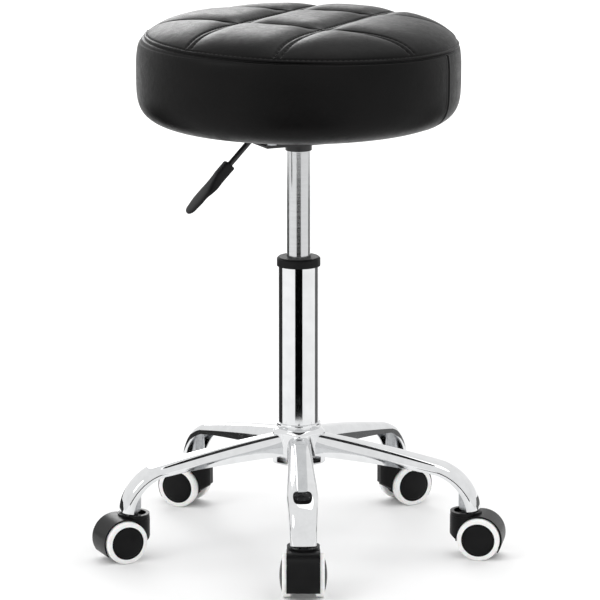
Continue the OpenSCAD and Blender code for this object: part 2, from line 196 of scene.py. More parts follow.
def makePowderCoat():
    # black polyester powder coat: an even orange peel about 1.5 mm across
    material, tree, shader, coords = newMaterial("black_powder_coat", Roughness=0.38)
    peel = noiseOf(tree, coords, 1.5, 1.5)
    dust = noiseOf(tree, coords, 25, 3)
    link(tree, tint(tree, spread(tree, dust, 0, 1), "131314", "1d1d1e"), shader, "Base Color")
    link(tree, spread(tree, dust, 0.33, 0.45), shader, "Roughness")
    link(tree, bump(tree, peel, 0.06), shader, "Normal")
    return material


def makePlastic(name, dark, light, rough, grain, depth):
    # moulded plastic with a spark-eroded texture, grain in millimetres
    material, tree, shader, coords = newMaterial(name, Roughness=rough)
    shader.inputs["Specular IOR Level"].default_value = 0.15
    fine = noiseOf(tree, coords, grain, 2, 0.6)
    flow = noiseOf(tree, coords, 18, 2)
    link(tree, tint(tree, spread(tree, flow, 0, 1), dark, light), shader, "Base Color")
    link(tree, spread(tree, fine, rough - 0.05, rough + 0.07), shader, "Roughness")
    link(tree, bump(tree, fine, depth), shader, "Normal")
    return material


def makeTyre():
    # white cast polyurethane: slightly translucent, satin, with faint dust in the tread
    material, tree, shader, coords = newMaterial("cast_polyurethane", Roughness=0.42)
    shader.inputs["Subsurface Weight"].default_value = 0.15
    shader.inputs["Subsurface Scale"].default_value = 1.5 * mm
    dust = noiseOf(tree, coords, 7, 4, 0.6)
    link(tree, tint(tree, spread(tree, dust, 0, 1), "e9e9e8", "f7f7f6"), shader, "Base Color")
    link(tree, spread(tree, dust, 0.36, 0.5), shader, "Roughness")
    link(tree, bump(tree, dust, 0.03), shader, "Normal")
    return material


def makeBrass():
    # turned brass: fine tool rings along the axis
    material, tree, shader, coords = newMaterial("turned_brass", Metallic=1.0, Roughness=0.28)
    rings = addNode(tree, "ShaderNodeTexWave", {"Vector": coords, "Scale": 0.6, "Distortion": 0.4},
                    bands_direction="Z")
    link(tree, tint(tree, rings.outputs["Fac"], "b08a45", "cda65c"), shader, "Base Color")
    link(tree, bump(tree, rings.outputs["Fac"], 0.02), shader, "Normal")
    return material


def makePlywood():
    # birch ply: long pale figure along x
    material, tree, shader, coords = newMaterial("birch_plywood", Roughness=0.6)
    stretched = addNode(tree, "ShaderNodeMapping", {"Vector": coords, "Scale": (0.08, 1, 1)})
    figure = noiseOf(tree, stretched.outputs[0], 3, 4, 0.6, 0.8)
    link(tree, tint(tree, spread(tree, figure, 0, 1), "b98f5d", "d8b582"), shader, "Base Color")
    link(tree, bump(tree, figure, 0.05), shader, "Normal")
    return material


def makeLining():
    # black spun-bonded polypropylene: tiny embossed diamonds every 2 mm and loose fibres
    material, tree, shader, coords = newMaterial("spun_bonded_lining", Roughness=0.85)
    shader.inputs["Sheen Weight"].default_value = 0.15
    turned = addNode(tree, "ShaderNodeMapping",
                     {"Vector": coords, "Rotation": (0, 0, math.radians(45))})
    split = addNode(tree, "ShaderNodeSeparateXYZ", {0: turned.outputs[0]})
    waves = []
    for k in (0, 1):
        phase = addNode(tree, "ShaderNodeMath", {0: split.outputs[k], 1: math.pi / 2},
                        operation="MULTIPLY").outputs[0]
        waves.append(addNode(tree, "ShaderNodeMath", {0: phase}, operation="SINE").outputs[0])
    diamond = addNode(tree, "ShaderNodeMath", {0: waves[0], 1: waves[1]},
                      operation="MULTIPLY").outputs[0]
    fibres = noiseOf(tree, coords, 0.9, 4, 0.7, 1.5)
    link(tree, tint(tree, spread(tree, fibres, 0, 1), "141416", "29292b"), shader, "Base Color")
    relief = bump(tree, diamond, 0.12)
    link(tree, bump(tree, fibres, 0.08, relief), shader, "Normal")
    return material


def makeRubber():
    # moulded rubber: dull black with a faint cloudy bloom
    material, tree, shader, coords = newMaterial("moulded_rubber", Roughness=0.7)
    skin = noiseOf(tree, coords, 2, 3)
    link(tree, tint(tree, spread(tree, skin, 0, 1), "1a1a1a", "262626"), shader, "Base Color")
    link(tree, bump(tree, skin, 0.05), shader, "Normal")
    return material


leatherette = makeLeatherette()
thread = makeThread()
chrome = makeChrome()
rodSteel = makeRodSteel()
zinc = makeZinc()
powderCoat = makePowderCoat()
nylon = makePlastic("moulded_nylon", "0b0b0c", "131314", 0.5, 0.8, 0.04)
grip = makePlastic("moulded_polypropylene", "121213", "1a1a1b", 0.42, 0.7, 0.05)
castorNylon = makePlastic("gloss_nylon", "060607", "0b0b0c", 0.33, 1.6, 0.015)
tyreWhite = makeTyre()
brass = makeBrass()
plywood = makePlywood()
lining = makeLining()
rubber = makeRubber()
slotMaterials = {
    "chrome": chrome, "zinc_steel": zinc, "black_steel": powderCoat, "black_plastic": nylon,
    "grip_plastic": grip, "castor_plastic": castorNylon, "white_tyre": tyreWhite,
    "rubber": rubber, "brass": brass, "plywood": plywood, "lining": lining,
    "foam": plywood,  # never seen: the cushion stands for it
    "seat_leather": leatherette}
for part in frame["record"]["subparts"]:
    solid = frame["nodes"][part["node"]]
    solid.data.materials.clear()
    solid.data.materials.append(slotMaterials[part["material_slot"]])
print("materials made")


# camera, light and floor

view = dict(place=(0.0016, -4.0789, 1.1969), tilt=77.501, lens=214.43, sensor=36)
camera = bpy.data.objects.new("camera", bpy.data.cameras.new("camera"))
scene.collection.objects.link(camera)
camera.location = view["place"]
camera.rotation_euler = (math.radians(view["tilt"]), 0, 0)
camera.data.sensor_width = view["sensor"]
camera.data.lens = view["lens"]
camera.data.clip_end = 100
scene.camera = camera
scene.view_settings.view_transform = "Standard"

studio = dict(
    sky=1.0, floorSize=40, floorPaint=("f7f7f7", "fafafa"), aim=(0, 0, 0.35),
    softboxes={  # place, width in metres, power in watts
        "leftBox": ((-2.6, -1.6, 2.4), 1.6, 16),
        "topBox": ((0.6, 0.4, 3.2), 2.4, 16),
        "backBox": ((-0.8, 4.5, 2.15), 2.2, 55)})
world = bpy.data.worlds.new("studio")
world.use_nodes = True
world.node_tree.nodes["Background"].inputs["Color"].default_value = (1, 1, 1, 1)
world.node_tree.nodes["Background"].inputs["Strength"].default_value = studio["sky"]
scene.world = world
for name, (place, size, power) in studio["softboxes"].items():
    light = bpy.data.objects.new(name, bpy.data.lights.new(name, "AREA"))
    light.data.shape = "DISK"
    light.data.size = size
    light.data.energy = power
    light.visible_camera = False
    light.location = place
    aim = Vector(studio["aim"]) - Vector(place)
    light.rotation_euler = aim.to_track_quat("-Z", "Y").to_euler()
    scene.collection.objects.link(light)


def meshPiece(name, points, faces, material, sharp=40):
    # a smooth-shaded mesh object; edges turned by more than sharp degrees stay crisp
    mesh = bpy.data.meshes.new(name)
    mesh.from_pydata([tuple(p) for p in points], [], faces)
    mesh.materials.append(material)
    mesh.shade_smooth()
    mesh.set_sharp_from_angle(angle=math.radians(sharp))
    piece = bpy.data.objects.new(name, mesh)
    scene.collection.objects.link(piece)
    return piece


# matt white floor paint, very faintly cloudy
floorMaterial, floorTree, floorShader, floorCoords = newMaterial("matt_floor_paint", Roughness=0.9)
floorShader.inputs["Specular IOR Level"].default_value = 0.1
floorCloud = spread(floorTree, noiseOf(floorTree, floorCoords, 400), 0, 1)
link(floorTree, tint(floorTree, floorCloud, *studio["floorPaint"]), floorShader, "Base Color")
half = studio["floorSize"] / 2
floorCorners = [(-half, -half, 0), (half, -half, 0), (half, half, 0), (-half, half, 0)]
floor = meshPiece("floor", floorCorners, [(0, 1, 2, 3)], floorMaterial)

# Painted reflections: glowing patches laid just above the floor, hidden from the camera and from diffuse light,
# which paint dark and grey stripes into the glossy reflections: middle direction and half spread in degrees,
# nearest and farthest distance from the stool in metres, grey
paintedReflectionPatches = {
    "paintedReflectionFront": (-89, 20.5, 0.62, 2.6, "050505"),
    "paintedReflectionLeft": (145, 22, 0.5, 2.4, "363636"),
    "paintedReflectionRight": (30, 16, 0.5, 2.4, "6e6e6e")}
patchSteps = 16
for name, (middle, reach, near, far, grey) in paintedReflectionPatches.items():
    patchMaterial = bpy.data.materials.new(name)
    patchMaterial.use_nodes = True
    patchTree = patchMaterial.node_tree
    patchTree.nodes.clear()
    # each patch glows with its grey and is seen only in glossy reflections: a painted reflection, not a lamp
    glow = addNode(patchTree, "ShaderNodeEmission", {"Color": linearColour(grey)})
    addNode(patchTree, "ShaderNodeOutputMaterial", {"Surface": glow.outputs[0]})
    angles = [math.radians(middle - reach + 2 * reach * k / patchSteps)
              for k in range(patchSteps + 1)]
    points = [(d * math.cos(a), d * math.sin(a), mm) for a in angles for d in (near, far)]
    quads = [(2 * k, 2 * k + 1, 2 * k + 3, 2 * k + 2) for k in range(patchSteps)]
    patch = meshPiece(name, points, quads, patchMaterial)
    patch.visible_camera = patch.visible_diffuse = False
    patch.visible_shadow = patch.visible_transmission = False
print("camera, light and floor set")


# mesh makers

def ringFaces(rings):
    # faces between rings of vertex numbers, outer first; a ring may have as many points as the
    # one before, half as many, or only one
    faces = []
    for outer, inner in zip(rings, rings[1:]):
        n, m = len(outer), len(inner)
        if m == n:
            faces += [(outer[k], outer[(k + 1) % n], inner[(k + 1) % n], inner[k])
                      for k in range(n)]
        elif m == 1:
            faces += [(outer[k], outer[(k + 1) % n], inner[0]) for k in range(n)]
        else:
            for k in range(m):
                a, b, c = outer[2 * k], outer[2 * k + 1], outer[(2 * k + 2) % n]
                p, q = inner[k], inner[(k + 1) % m]
                faces += [(a, b, p), (b, q, p), (b, c, q)]
    return faces


def turnOutwards(piece):
    # merges doubles, then makes every face of a closed shape point outwards
    work = bmesh.new()
    work.from_mesh(piece.data)
    bmesh.ops.remove_doubles(work, verts=work.verts, dist=1e-6)
    bmesh.ops.recalc_face_normals(work, faces=work.faces)
    work.to_mesh(piece.data)
    work.free()
    return piece


def lathe(profile, steps, place=Matrix.Identity(4)):
    # turns a closed outline of (radius, height) in millimetres about its own z axis
    points, faces, rings = [], [], []
    for r, z in profile:
        if r < 1e-6:
            rings.append([len(points)])
            points.append(place @ Vector((0, 0, z * mm)))
        else:
            rings.append(list(range(len(points), len(points) + steps)))
            for k in range(steps):
                a = 2 * math.pi * k / steps
                points.append(place @ Vector((r * math.cos(a) * mm, r * math.sin(a) * mm, z * mm)))
    loop = rings if profile[0][0] < 1e-6 else rings + rings[:1]
    for first, second in zip(loop, loop[1:]):
        if len(first) == 1:
            faces += [(first[0], second[(k + 1) % steps], second[k]) for k in range(steps)]
        else:
            faces += ringFaces([first, second])
    return points, faces


def arc(cx, cz, radius, start, end, count):
    # points on a circle in the lathe's outline, angles in degrees
    return [(cx + radius * math.cos(math.radians(start + (end - start) * k / count)),
             cz + radius * math.sin(math.radians(start + (end - start) * k / count)))
            for k in range(count + 1)]


def joined(shapes):
    # several (points, faces) as one
    points, faces = [], []
    for p, f in shapes:
        shift = len(points)
        points += p
        faces += [tuple(k + shift for k in face) for face in f]
    return points, faces


def finishPiece(piece, body, slot, *nodes):
    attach(piece, body)
    if nodes:
        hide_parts(*nodes)
    return piece


def flatten(holder, name):
    # the evaluated geometry of a Geometry Nodes holder as one plain mesh piece
    bpy.context.view_layer.update()
    graph = bpy.context.evaluated_depsgraph_get()
    mesh = bpy.data.meshes.new_from_object(holder.evaluated_get(graph))
    piece = bpy.data.objects.new(name, mesh)
    scene.collection.objects.link(piece)
    old = holder.data
    bpy.data.objects.remove(holder)
    bpy.data.meshes.remove(old)
    return piece


def newGroup(name, sockets):
    # an empty geometry tree with named inputs: (name, socket type, default)
    group = bpy.data.node_groups.new(name, "GeometryNodeTree")
    group.interface.new_socket("Geometry", in_out="INPUT", socket_type="NodeSocketGeometry")
    ids = {}
    for label, kind, default in sockets:
        socket = group.interface.new_socket(label, in_out="INPUT", socket_type=kind)
        if default is not None:
            socket.default_value = default
        ids[label] = socket.identifier
    group.interface.new_socket("Geometry", in_out="OUTPUT", socket_type="NodeSocketGeometry")
    return group, ids, addNode(group, "NodeGroupInput"), addNode(group, "NodeGroupOutput")


def runGroup(name, mesh, group, ids, values):
    # runs a geometry tree on a mesh and returns the flattened piece
    holder = bpy.data.objects.new(name + "Holder", mesh)
    scene.collection.objects.link(holder)
    modifier = holder.modifiers.new("nodes", "NODES")
    modifier.node_group = group
    for label, value in values.items():
        modifier[ids[label]] = value
    return flatten(holder, name)


# the padded seat

coverLow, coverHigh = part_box("seat_cover")
seat = dict(
    underside=coverLow.z / mm, top=coverHigh.z / mm, halfWidth=(coverHigh.x - coverLow.x) / 2 / mm,
    seam=599,             # height of the rim seam on the axis of the seat
    seamRoll=0.036,       # the seam runs this much lower per millimetre to the right
    rimBulge=5.3, bulgeDrop=28,          # how far the side band stands out, and how far down
    wrap=105,             # radius at which the cover ends under the board
    bandLift=0.8,         # the band ends this much above the underside of the board
    baseFlat=110, bandAcross=0.75, bandUp=0.4, crownAcross=0.38, crownUp=1.42,
    valley=9.5,           # depth of the quilting's valleys in the middle; they run out at the rim
    panelReach=32,        # distance over which a panel swells up from its valley
    panelRound=2.6,       # how soon a panel is up to its height: more is sooner
    coarsen=(90, 45, 22),  # radii inside which the crown has half as many points round
    steps=720)
quilt = dict(
    turn=154,             # direction across the first lines, in degrees
    lines=[(-3.6, 45.5), (-1.1, -59.8), (-83.3, 72.4), (-92.2, -53.6)],  # further turn, offset
    strip=3.7, groove=1.9, width=1.25, rise=0.5, ridge=2.4)
rim = dict(topstitch=5.0, seamDepth=2.2, stitchDepth=1.1, stitchWidth=0.9, width=1.2,
           hem=2.6, hemHeight=0.4, hemWidth=1.3)
stitch = dict(length=4.6, pitch=6.0, thickness=0.75, lift=0.15)
join = dict(azimuth=-25, depth=2.2, width=1.2, lipAt=2.6, lipHeight=0.35, lipWidth=1.6)
simulation = dict(voxel=5, pressure=4.0, frames=20, cap=6, startPuff=0.8, coarseness=3,
                  stiffness=40, bending=2)

seamR = seat["halfWidth"] - seat["rimBulge"]
crownH = seat["top"] - seat["seam"]
bulgeZ = seat["seam"] - seat["bulgeDrop"]
quarter = np.linspace(0, np.pi / 2, 90)
bandR = (seat["baseFlat"] +
         (seat["halfWidth"] - seat["baseFlat"]) * np.sin(quarter) ** seat["bandAcross"])
bandH = bulgeZ - seat["underside"] - seat["bandLift"]
bandZ = bulgeZ - bandH * np.cos(quarter) ** seat["bandUp"]
rollOver = np.linspace(0, np.pi / 2, 30)[1:]
sideR = seamR + seat["rimBulge"] * np.cos(rollOver)
sideZ = bulgeZ + seat["bulgeDrop"] * np.sin(rollOver)
crownR = seamR * np.cos(quarter[1:-1]) ** seat["crownAcross"]
crownZ = seat["seam"] + crownH * np.sin(quarter[1:-1]) ** seat["crownUp"]
profileR = np.concatenate([[seat["wrap"]], bandR, sideR, crownR, [0]])
profileZ = np.concatenate([[seat["underside"]], bandZ, sideZ, crownZ, [seat["top"]]])
along = np.concatenate([[0], np.cumsum(np.hypot(np.diff(profileR), np.diff(profileZ)))])
seamAt = along[len(bandR) + len(sideR)]
total = along[-1]


def lineDistances(x, y):
    # signed distance from each quilting line, in millimetres
    out = []
    for turn, offset in quilt["lines"]:
        a = math.radians(quilt["turn"] + turn)
        out.append(x * math.cos(a) + y * math.sin(a) - offset)
    return out


def swell(x, y):
    # 0 on a quilting line, 1 in the middle of a panel
    out = np.ones_like(x)
    for s in lineDistances(x, y):
        d = np.clip((np.abs(s) - quilt["strip"]) / seat["panelReach"], 0, 1)
        out *= 1 - (1 - d) ** seat["panelRound"]
    return out


def seatSurface(station, angle, puff):
    # a point of the cushion: station runs along the outline, angle is the azimuth in radians
    r = np.interp(station, along, profileR)
    z = np.interp(station, along, profileZ)
    x, y = r * np.cos(angle), r * np.sin(angle)
    depth = seat["valley"] * (1 - np.minimum(r / seamR, 1) ** 3)
    z = np.where(station > seamAt, z - depth * (1 - swell(x, y) * puff), z)
    return np.stack([x, y, z], axis=-1)


def seatRings(fine):
    # rings of stations from the underside to the middle of the crown, close together at the
    # seam, which is a ring of its own; they are fine times as far apart as in the finished piece
    bandStep, seamStep, crownStep = 3.0 * fine, 0.8 * fine, 1.25 * fine
    below = np.concatenate([np.arange(0, seamAt - 9, bandStep),
                            seamAt - np.arange(8.8, 0.1, -seamStep)])
    above = np.concatenate([np.arange(0, 9.6, seamStep),
                            np.arange(10, total - seamAt - 1, crownStep)])
    rings = []
    for s in list(below) + list(seamAt + above):
        r = np.interp(s, along, profileR)
        count = int(seat["steps"] / fine)
        if s > seamAt:
            for limit in seat["coarsen"]:
                count = count // 2 if r < limit else count
        angle = 2 * np.pi * np.arange(count) / count
        moved = seamAt - seat["seamRoll"] * seamR * np.cos(angle)
        if s <= seamAt:
            stations = s * moved / seamAt
        else:
            stations = moved + (s - seamAt) * (total - moved) / (total - seamAt)
        rings.append((stations, angle, s - seamAt))
    return rings


def buildSeat(fine, puff):
    # points, faces, rings of point numbers, and each point's distance along from the seam
    points, rings, fromSeam = [], [], []
    count = 0
    for station, angle, offset in seatRings(fine):
        points.append(seatSurface(station, angle, puff))
        rings.append(list(range(count, count + len(angle))))
        count += len(angle)
        fromSeam.append(np.full(len(angle), offset))
    points.append(seatSurface(np.array([total]), np.array([0.0]), puff))
    points.append(np.array([[0, 0, seat["underside"] + 1.2]]))
    fromSeam.append(np.array([total - seamAt, -seamAt]))
    bottom = rings[0]
    faces = ringFaces(rings + [[count]])
    faces += [(count + 1, bottom[(k + 1) % len(bottom)], bottom[k]) for k in range(len(bottom))]
    return np.concatenate(points), faces, rings, np.concatenate(fromSeam)


def simulateSwell():
    # blows a coarse cushion up as cloth, held along its seams, and returns where its points
    # started and how they moved
    points, faces, _, _ = buildSeat(simulation["coarseness"], simulation["startPuff"])
    start = turnOutwards(meshPiece("padStart", points * mm, faces, leatherette))
    remesh = start.modifiers.new("voxels", "REMESH")
    remesh.mode = "VOXEL"
    remesh.voxel_size = simulation["voxel"] * mm
    pad = flatten(start, "padCloth")
    before = np.empty(len(pad.data.vertices) * 3)
    pad.data.vertices.foreach_get("co", before)
    before = before.reshape(-1, 3) / mm
    radius = np.hypot(before[:, 0], before[:, 1])
    nearLine = np.min(np.abs(np.stack(lineDistances(before[:, 0], before[:, 1]))), axis=0)
    hold = pad.vertex_groups.new(name="hold")
    for k, (x, y, z) in enumerate(before):
        onQuilting = z > seat["seam"] + 2 and nearLine[k] < 6
        onBoard = z < seat["underside"] + 4
        onSeam = radius[k] > seamR - 4 and abs(z - (seat["seam"] - seat["seamRoll"] * x)) < 4
        if onQuilting or onBoard or onSeam:
            hold.add([k], 1.0, "REPLACE")
    cloth = pad.modifiers.new("cloth", "CLOTH")
    settings = cloth.settings
    settings.use_pressure = True
    settings.uniform_pressure_force = simulation["pressure"]
    settings.effector_weights.gravity = 0
    settings.vertex_group_mass = "hold"
    settings.tension_stiffness = settings.compression_stiffness = simulation["stiffness"]
    settings.bending_stiffness = simulation["bending"]
    cloth.point_cache.frame_start = 1
    cloth.point_cache.frame_end = simulation["frames"]
    for step in range(1, simulation["frames"] + 1):
        scene.frame_set(step)
    swollen = flatten(pad, "padSwollen")
    after = np.empty(len(swollen.data.vertices) * 3)
    swollen.data.vertices.foreach_get("co", after)
    bpy.data.objects.remove(swollen)
    scene.frame_set(1)
    moved = after.reshape(-1, 3) / mm - before
    size = np.linalg.norm(moved, axis=1, keepdims=True)
    moved *= simulation["cap"] * np.tanh(size / simulation["cap"]) / np.maximum(size, 1e-6)
    return before, moved


def carrySwell(points, before, moved):
    # gives each fine point the movement of the cloth points round it
    neighbours, reach = 6, 4.5
    tree = KDTree(len(before))
    for k, p in enumerate(before):
        tree.insert(p, k)
    tree.balance()
    out = np.zeros_like(points)
    for k, p in enumerate(points):
        near = tree.find_n(p, neighbours)
        weights = np.array([math.exp(-(d / reach) ** 2) + 1e-9 for _, _, d in near])
        pulls = moved[[i for _, i, _ in near]] * weights[:, None]
        out[k] = pulls.sum(axis=0) / weights.sum()
    return out


def bell(distance, width):
    return np.exp(-(distance / width) ** 2)


def seamRelief(points, fromSeam):
    # how far the sewing draws the cover in (negative) or lets it stand up, in millimetres;
    # each stitch pulls a little harder than the gap after it
    x, y, z = points.T
    radius = np.hypot(x, y)
    quiltEnd = 6.5  # the quilting stops this far from the rim seam
    relief = np.zeros(len(points))
    fade = np.clip((fromSeam - quiltEnd) / 3, 0, 1)
    for s, (turn, offset) in zip(lineDistances(x, y), quilt["lines"]):
        a = math.radians(quilt["turn"] + turn)
        run = -x * math.sin(a) + y * math.cos(a)
        pull = 1 + 0.25 * np.cos(2 * np.pi * run / stitch["pitch"])
        groove = -quilt["groove"] * pull * bell(np.abs(s) - quilt["strip"], quilt["width"])
        strip = quilt["rise"] * bell(s, quilt["ridge"])
        relief += (groove + strip) * fade
    azimuth = np.arctan2(y, x)
    pull = 1 + 0.2 * np.cos(2 * np.pi * azimuth * radius / stitch["pitch"])
    relief -= rim["seamDepth"] * bell(fromSeam, rim["width"])
    relief -= rim["stitchDepth"] * pull * bell(fromSeam - rim["topstitch"], rim["stitchWidth"])
    relief += rim["hemHeight"] * bell(fromSeam - rim["hem"], rim["hemWidth"])
    across = (azimuth - math.radians(join["azimuth"])) * radius
    lips = sum(bell(across + side * join["lipAt"], join["lipWidth"]) for side in (-1, 1))
    inBand = np.clip((-fromSeam - 0.5) / 1.5, 0, 1)
    relief += (join["lipHeight"] * lips - join["depth"] * bell(across, join["width"])) * inBand
    return relief


def makeCushion():
    puff = simulation["startPuff"]
    points, faces, rings, fromSeam = buildSeat(1, puff)
    before, moved = simulateSwell()
    offset = carrySwell(points, before, moved)
    # the crown takes the whole swell, the side band a quarter of it, the seam none
    share = np.clip(fromSeam / 8, 0, 1) + 0.25 * np.clip(-fromSeam / 8, 0, 1)
    points = points + offset * share[:, None]
    most = float(np.abs(offset[:, 2]).max())
    print("cloth moved the crown by up to", round(most, 1), "mm")
    cushion = meshPiece("seat_cushion", points * mm, faces, leatherette, sharp=80)
    normals = np.empty(len(points) * 3)
    cushion.data.vertex_normals.foreach_get("vector", normals)
    relief = seamRelief(points, fromSeam)
    points = points + normals.reshape(-1, 3) * relief[:, None]
    cushion.data.vertices.foreach_set("co", (points * mm).ravel())
    cushion.data.update()
    return cushion, points, rings, fromSeam


cushion, seatPoints, seatRingList, fromSeam = makeCushion()
finishPiece(cushion, "seat", "seat_leather", "seat_cover", "seat_foam")
print("cushion made:", len(cushion.data.polygons), "faces, top at",
      round(float(seatPoints[:, 2].max()), 1), "mm")


# stitches

def stitchPaths():
    # the sewing lines as open strings of points on the cushion, in metres
    surface = BVHTree.FromPolygons([Vector(p) for p in seatPoints * mm],
                                   [tuple(f.vertices) for f in cushion.data.polygons])
    reach, spacing = 182, 1.5
    strings = []
    for turn, offset in quilt["lines"]:
        a = math.radians(quilt["turn"] + turn)
        normal = Vector((math.cos(a), math.sin(a), 0))
        run = Vector((-math.sin(a), math.cos(a), 0))
        for side in (-quilt["strip"], quilt["strip"]):
            string = []
            for t in np.arange(-reach, reach + 0.1, spacing):
                p = (normal * (offset + side) + run * float(t)) * mm
                edge = (seamR - 3.2) * mm + 0.3 * seat["seamRoll"] * p.x
                if p.length > edge:
                    continue
                place, up, _, _ = surface.ray_cast(Vector((p.x, p.y, 1)), Vector((0, 0, -1)))
                if place is not None:
                    string.append(place + up * stitch["lift"] * mm)
            strings.append(string)
    ring = min(seatRingList, key=lambda r: abs(fromSeam[r[0]] - rim["topstitch"]))
    loop = [Vector(p) * mm for p in seatPoints[ring]]
    strings.append(loop + loop[:1])
    return strings


def scatterBeads(group, given, out, points, segments, rings, size, material, turned=None):
    # ends a tree with a small round bead at each point, stretched to size = (x, y, z) sockets
    bead = addNode(group, "GeometryNodeMeshUVSphere",
                   {"Segments": segments, "Rings": rings, "Radius": 0.5})
    scale = addNode(group, "ShaderNodeCombineXYZ",
                    {k: given.outputs[label] for k, label in enumerate(size)})
    inputs = {"Points": points, "Instance": bead.outputs["Mesh"], "Scale": scale.outputs[0]}
    if turned is not None:
        inputs["Rotation"] = turned
    copies = addNode(group, "GeometryNodeInstanceOnPoints", inputs)
    real = addNode(group, "GeometryNodeRealizeInstances", {"Geometry": copies.outputs[0]})
    smooth = addNode(group, "GeometryNodeSetShadeSmooth", {"Geometry": real.outputs[0]})
    done = addNode(group, "GeometryNodeSetMaterial",
                   {"Geometry": smooth.outputs[0], "Material": given.outputs[material]})
    group.links.new(done.outputs[0], out.inputs["Geometry"])


def alongCurve(group):
    # a rotation that lays a bead along the curve it stands on
    tangent = addNode(group, "GeometryNodeInputTangent")
    turned = addNode(group, "FunctionNodeAlignRotationToVector",
                     {"Vector": tangent.outputs[0]}, axis="X")
    return turned.outputs[0]


def stitchGroup():
    group, ids, given, out = newGroup("stitchRow", [
        ("Pitch", "NodeSocketFloat", 0.006), ("Length", "NodeSocketFloat", 0.0046),
        ("Thickness", "NodeSocketFloat", 0.0008), ("Thread", "NodeSocketMaterial", None)])
    curve = addNode(group, "GeometryNodeMeshToCurve", {"Mesh": given.outputs["Geometry"]})
    spaced = addNode(group, "GeometryNodeResampleCurve",
                     {"Curve": curve.outputs[0], "Length": given.outputs["Pitch"]}, mode="LENGTH")
    scatterBeads(group, given, out, spaced.outputs[0], 8, 5,
                 ("Length", "Thickness", "Thickness"), "Thread", alongCurve(group))
    return group, ids


lineMesh = bpy.data.meshes.new("sewingLines")
linePoints, lineEdges = [], []
for string in stitchPaths():
    first = len(linePoints)
    lineEdges += [(first + k, first + k + 1) for k in range(len(string) - 1)]
    linePoints += string
lineMesh.from_pydata(linePoints, lineEdges, [])
rowGroup, rowIds = stitchGroup()
stitches = runGroup("seat_stitches", lineMesh, rowGroup, rowIds, {
    "Pitch": stitch["pitch"] * mm, "Length": stitch["length"] * mm,
    "Thickness": stitch["thickness"] * mm, "Thread": thread})
finishPiece(stitches, "seat", "seat_leather")
print("stitches made:", len(stitches.data.polygons), "faces")


# the underside: lining and staples

under = dict(
    radius=116.5, hole=35, top=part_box("under_cloth")[1].z / mm, thick=0.5, wave=0.22,
    hem=107, hemThick=0.35,  # outside this radius the lining is folded under
    steps=180, staples=36, stapleRing=112, crown=10, wire=1.1)


def makeLiningPiece():
    # a disc of lining with a turned-in hem, lying slightly wavy against the board
    steps = under["steps"]
    angle = 2 * np.pi * np.arange(steps) / steps
    radii = [under["hole"], under["hole"] + 6, *np.linspace(50, 104, 12),
             108, 110, 114, under["radius"]]
    layers = []
    for side in (0, 1):
        for r in radii:
            ripple = np.sin(angle * 11 + r * 0.09) * np.sin(angle * 3 + 1) * min(1, (r - 30) / 60)
            hem = under["hemThick"] if r > under["hem"] else 0
            drop = under["thick"] + hem + under["wave"] * ripple * 0.5 + 0.12
            z = under["top"] - 0.02 - drop * side
            layers.append(np.stack([r * np.cos(angle), r * np.sin(angle), z + 0 * angle], -1))
    order = layers[:len(radii)] + layers[len(radii):][::-1]
    rings = [list(range(k * steps, (k + 1) * steps)) for k in range(len(order))]
    points = np.concatenate(order) * mm
    return turnOutwards(meshPiece("seat_lining", points, ringFaces(rings + rings[:1]), lining))


def stapleGroup():
    group, ids, given, out = newGroup("stapleRing", [
        ("Count", "NodeSocketInt", 40), ("Ring radius", "NodeSocketFloat", 0.137),
        ("Crown", "NodeSocketFloat", 0.01), ("Wire", "NodeSocketFloat", 0.001),
        ("Height", "NodeSocketFloat", 0.5), ("Steel", "NodeSocketMaterial", None)])
    circle = addNode(group, "GeometryNodeCurvePrimitiveCircle",
                     {"Resolution": given.outputs["Count"], "Radius": given.outputs["Ring radius"]})
    lift = addNode(group, "ShaderNodeCombineXYZ", {2: given.outputs["Height"]})
    placed = addNode(group, "GeometryNodeTransform",
                     {"Geometry": circle.outputs["Curve"], "Translation": lift.outputs[0]})
    scatterBeads(group, given, out, placed.outputs[0], 10, 6,
                 ("Crown", "Wire", "Wire"), "Steel", alongCurve(group))
    return group, ids


finishPiece(makeLiningPiece(), "seat", "lining", "under_cloth")
pinMesh = bpy.data.meshes.new("staplePoint")
pinMesh.from_pydata([(0, 0, 0)], [], [])
ringGroup, ringIds = stapleGroup()
staples = runGroup("lining_staples", pinMesh, ringGroup, ringIds, {
    "Count": under["staples"], "Ring radius": under["stapleRing"] * mm,
    "Crown": under["crown"] * mm, "Wire": under["wire"] * mm,
    "Height": (under["top"] - under["thick"] - 0.7) * mm, "Steel": zinc})
finishPiece(staples, "seat", "zinc_steel")
print("underside made")


# the pressed steel base

hubLow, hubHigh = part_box("hub")
stems = [joints["castor_swivel_" + p]["pos_m"] for p in places]
base = dict(
    hubBottom=hubLow.z / mm, hubTop=hubHigh.z / mm, cheekR=28, lipR=26, boreR=24.02,
    shoulderZ=136, hubSteps=180,
    rootX=25.5, bendX=169.5, rootSlope=7, bendSlope=12, footSlope=81, rootZ=134.8, bendR=65,
    widths=(28, 36, 30), depths=(26, 12, 12),  # at the hub, at the bend and at the foot
    sheet=2.0, squareness=0.6, armSteps=6, bendSteps=9, pathSteps=90, archSteps=40)
rootSlope, bendSlope = math.radians(base["rootSlope"]), math.radians(base["bendSlope"])
armRun = base["bendX"] - base["cheekR"]
armR = armRun / (math.sin(bendSlope) - math.sin(rootSlope))
armCentre = (base["cheekR"] - armR * math.sin(rootSlope),
             base["rootZ"] - armR * math.cos(rootSlope))
bendCentre = (base["bendX"] - base["bendR"] * math.sin(bendSlope),
              armCentre[1] + (armR - base["bendR"]) * math.cos(bendSlope))


